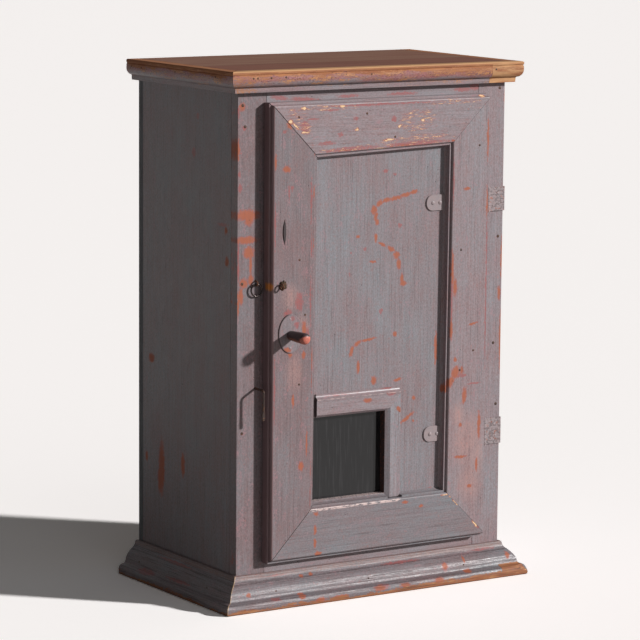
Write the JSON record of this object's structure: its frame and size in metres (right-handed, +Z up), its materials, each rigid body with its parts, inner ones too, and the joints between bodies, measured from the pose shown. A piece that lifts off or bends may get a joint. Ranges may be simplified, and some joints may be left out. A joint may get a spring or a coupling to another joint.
{
  "type": "cupboard",
  "caption": "Small standing cupboard with moulded cornice and base, one mitred panelled door with a low window, strap hinges, turned knob, bent-nail catch and pull ring, in old paint",
  "frame": {"origin": "centre of the overall box in plan, on the floor", "axes": "+Z up, -Y towards the viewer out of the door, +X towards the hinge side"},
  "size_m": [0.6752, 0.44, 0.98],
  "materials": {
    "paint": "old blue-grey paint on pine, worn, dull",
    "bare_pine": "bare pine, darkened",
    "inner_pine": "bare pine, dull",
    "iron": "rusty wrought iron",
    "painted_iron": "wrought iron under old paint",
    "knob_wood": "dark handled wood, satin",
    "glass": "old dull glass"
  },
  "bodies": {
    "carcase": {"side_left": "paint", "side_right": "paint", "top_board": "paint", "bottom_board": "inner_pine", "shelf_lower": "inner_pine", "shelf_upper": "inner_pine", "shelf_cleats_lower": "inner_pine", "shelf_cleats_upper": "inner_pine", "back_board_left": "bare_pine", "back_board_middle": "bare_pine", "back_board_right": "bare_pine", "face_rail_bottom": "paint", "face_rail_top": "paint", "face_stile_left": "paint", "face_stile_right": "paint", "cornice_front": "paint", "cornice_left": "paint", "cornice_right": "paint", "base_moulding_front": "paint", "base_moulding_left": "paint", "base_moulding_right": "paint", "hinge_leaf_upper": "painted_iron", "hinge_leaf_lower": "painted_iron", "hinge_pin_upper": "iron", "hinge_pin_lower": "iron", "leaf_nails": "iron", "ring_staple": "iron", "carcase_nails": "iron"},
    "door": {"door_board_left": "paint", "door_board_middle": "paint", "door_board_right": "paint", "door_batten_lower": "inner_pine", "door_batten_upper": "inner_pine", "door_stile_left": "paint", "door_stile_right": "paint", "door_rail_top": "paint", "door_rail_bottom": "paint", "window_rail": "paint", "window_stile": "paint", "window_glass": "glass", "glazing_beads": "inner_pine", "hinge_strap_upper": "painted_iron", "hinge_strap_lower": "painted_iron", "strap_nails": "iron", "knob_plate": "painted_iron", "plate_nails": "iron", "door_eye": "iron", "door_nails": "iron"},
    "knob": {"knob": "knob_wood", "latch_bar": "inner_pine", "latch_peg": "inner_pine"},
    "nail": {"bent_nail": "iron"},
    "ring": {"pull_ring": "iron"}
  },
  "joints": [
    {"name": "door_hinge", "type": "hinge", "parent": "carcase", "child": "door", "pos_m": [0.251, -0.146, 0.49], "axis": [0, 0, 1], "range_deg": [0, 120]},
    {"name": "knob_turn", "type": "hinge", "parent": "door", "child": "knob", "pos_m": [-0.195, -0.1375, 0.501], "axis": [0, -1, 0], "range_deg": [0, 90]},
    {"name": "nail_turn", "type": "hinge", "parent": "carcase", "child": "nail", "pos_m": [-0.2535, -0.1375, 0.4046], "axis": [0, -1, 0], "range_deg": [0, 105]},
    {"name": "ring_swing", "type": "hinge", "parent": "carcase", "child": "ring", "pos_m": [-0.2545, -0.1425, 0.596], "axis": [-1, 0, 0], "range_deg": [0, 110]}
  ]
}
